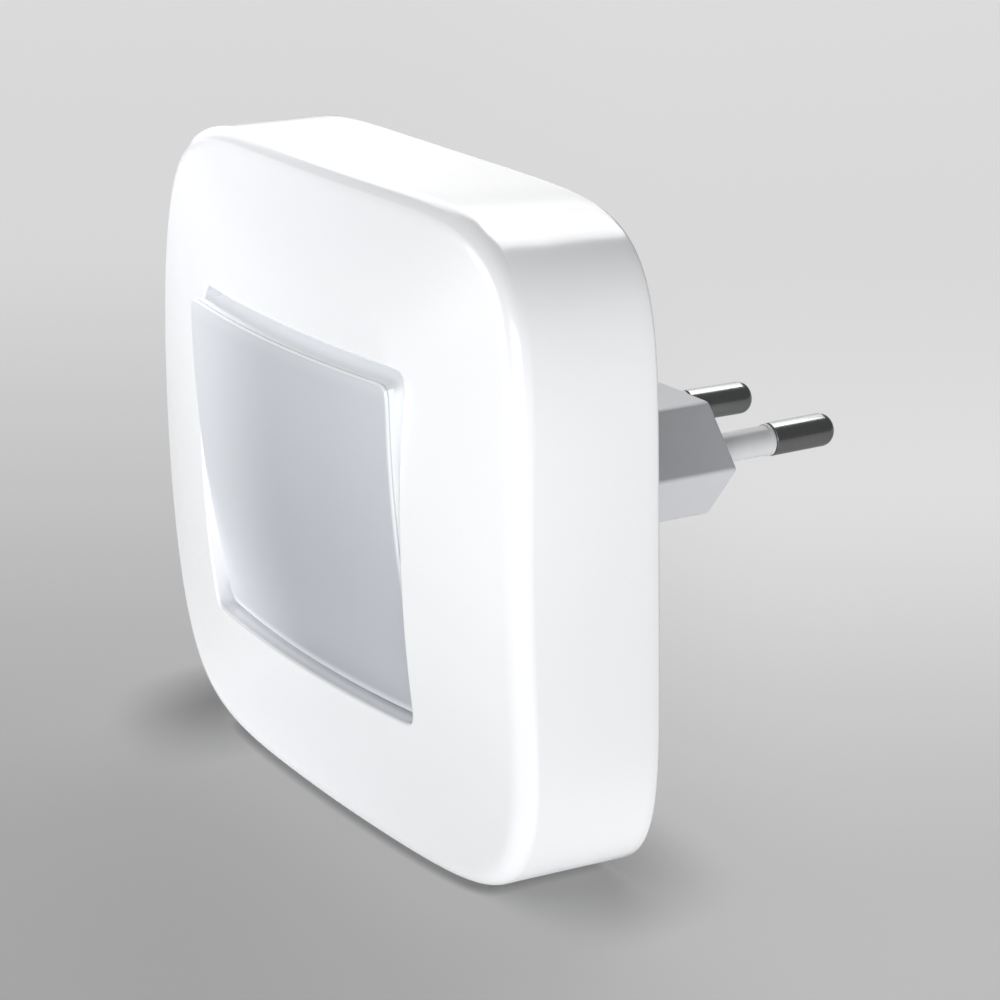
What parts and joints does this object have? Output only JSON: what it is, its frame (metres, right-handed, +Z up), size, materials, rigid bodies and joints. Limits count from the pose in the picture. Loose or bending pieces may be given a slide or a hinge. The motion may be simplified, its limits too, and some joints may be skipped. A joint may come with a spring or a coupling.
{
  "type": "plug in night light",
  "caption": "Plug in night light: domed squircle opal lamp with a large rocker switch in front and a flat two-pin mains plug on the back.",
  "frame": {"origin": "middle of the plug's face, between the two pins", "axes": "+Y out of the plug's face along the pins, +Z up, X across the lamp; the domed front faces -Y"},
  "size_m": [0.088, 0.0698, 0.0764],
  "materials": {
    "opal_plastic": "glossy white opal plastic",
    "white_plastic": "satin white plastic",
    "plug_plastic": "smooth white plastic",
    "rocker_grey": "fine satin grey plastic",
    "sleeve_plastic": "satin pale grey plastic",
    "nickel_plate": "polished nickel plate on brass",
    "brass_strip": "rolled brass strip",
    "silver_contact": "silver contact face",
    "screw_steel": "zinc plated steel",
    "spring_steel": "drawn spring wire",
    "board_laminate": "green solder resist on glass laminate",
    "led_white": "white diode package",
    "led_phosphor": "yellow phosphor fill",
    "capacitor_red": "dipped epoxy",
    "can_sleeve": "shrink sleeve on aluminium can",
    "component_black": "moulded black epoxy",
    "resistor_blue": "blue lacquer",
    "switch_grey": "moulded grey nylon",
    "plunger_nylon": "natural nylon"
  },
  "bodies": {
    "housing": {"front_cover": "opal_plastic", "rear_cover": "white_plastic", "plug_body": "plug_plastic", "pin_live": "nickel_plate", "pin_neutral": "nickel_plate", "pin_sleeve_live": "sleeve_plastic", "pin_sleeve_neutral": "sleeve_plastic", "contact_spring_live": "brass_strip", "contact_spring_neutral": "brass_strip", "circuit_board": "board_laminate", "led_packages": "led_white", "led_phosphor": "led_phosphor", "reflector_tray": "white_plastic", "film_capacitor": "capacitor_red", "smoothing_capacitor": "can_sleeve", "bridge_rectifier": "component_black", "fuse_resistor": "resistor_blue", "chip_resistors": "component_black", "switch_base": "switch_grey", "terminal_common": "brass_strip", "terminal_load": "brass_strip", "terminal_contact": "silver_contact", "hinge_pins": "screw_steel", "cover_screws": "screw_steel", "switch_screws": "screw_steel"},
    "rocker": {"rocker_body": "white_plastic", "rocker_plate": "rocker_grey", "plunger_spring": "spring_steel"},
    "plunger": {"plunger": "plunger_nylon"},
    "lever": {"contact_lever": "brass_strip", "lever_contact": "silver_contact"}
  },
  "joints": [
    {"name": "rocker_hinge", "type": "hinge", "parent": "housing", "child": "rocker", "pos_m": [0, -0.04322, 0], "axis": [-1, 0, 0], "range_deg": [0, 12]},
    {"name": "plunger_slide", "type": "slide", "parent": "rocker", "child": "plunger", "axis": [0, -0.9945, -0.1045], "range_m": [0, 0.0008], "stiffness_N_per_m": 100, "springref_m": -0.002, "deforming": ["plunger_spring"]},
    {"name": "lever_pivot", "type": "hinge", "parent": "housing", "child": "lever", "pos_m": [0, -0.038, 0], "axis": [1, 0, 0], "range_deg": [0, 12]}
  ],
  "couplings": [
    {"joint": "lever_pivot", "follows": "rocker_hinge", "ratio": 1}
  ]
}
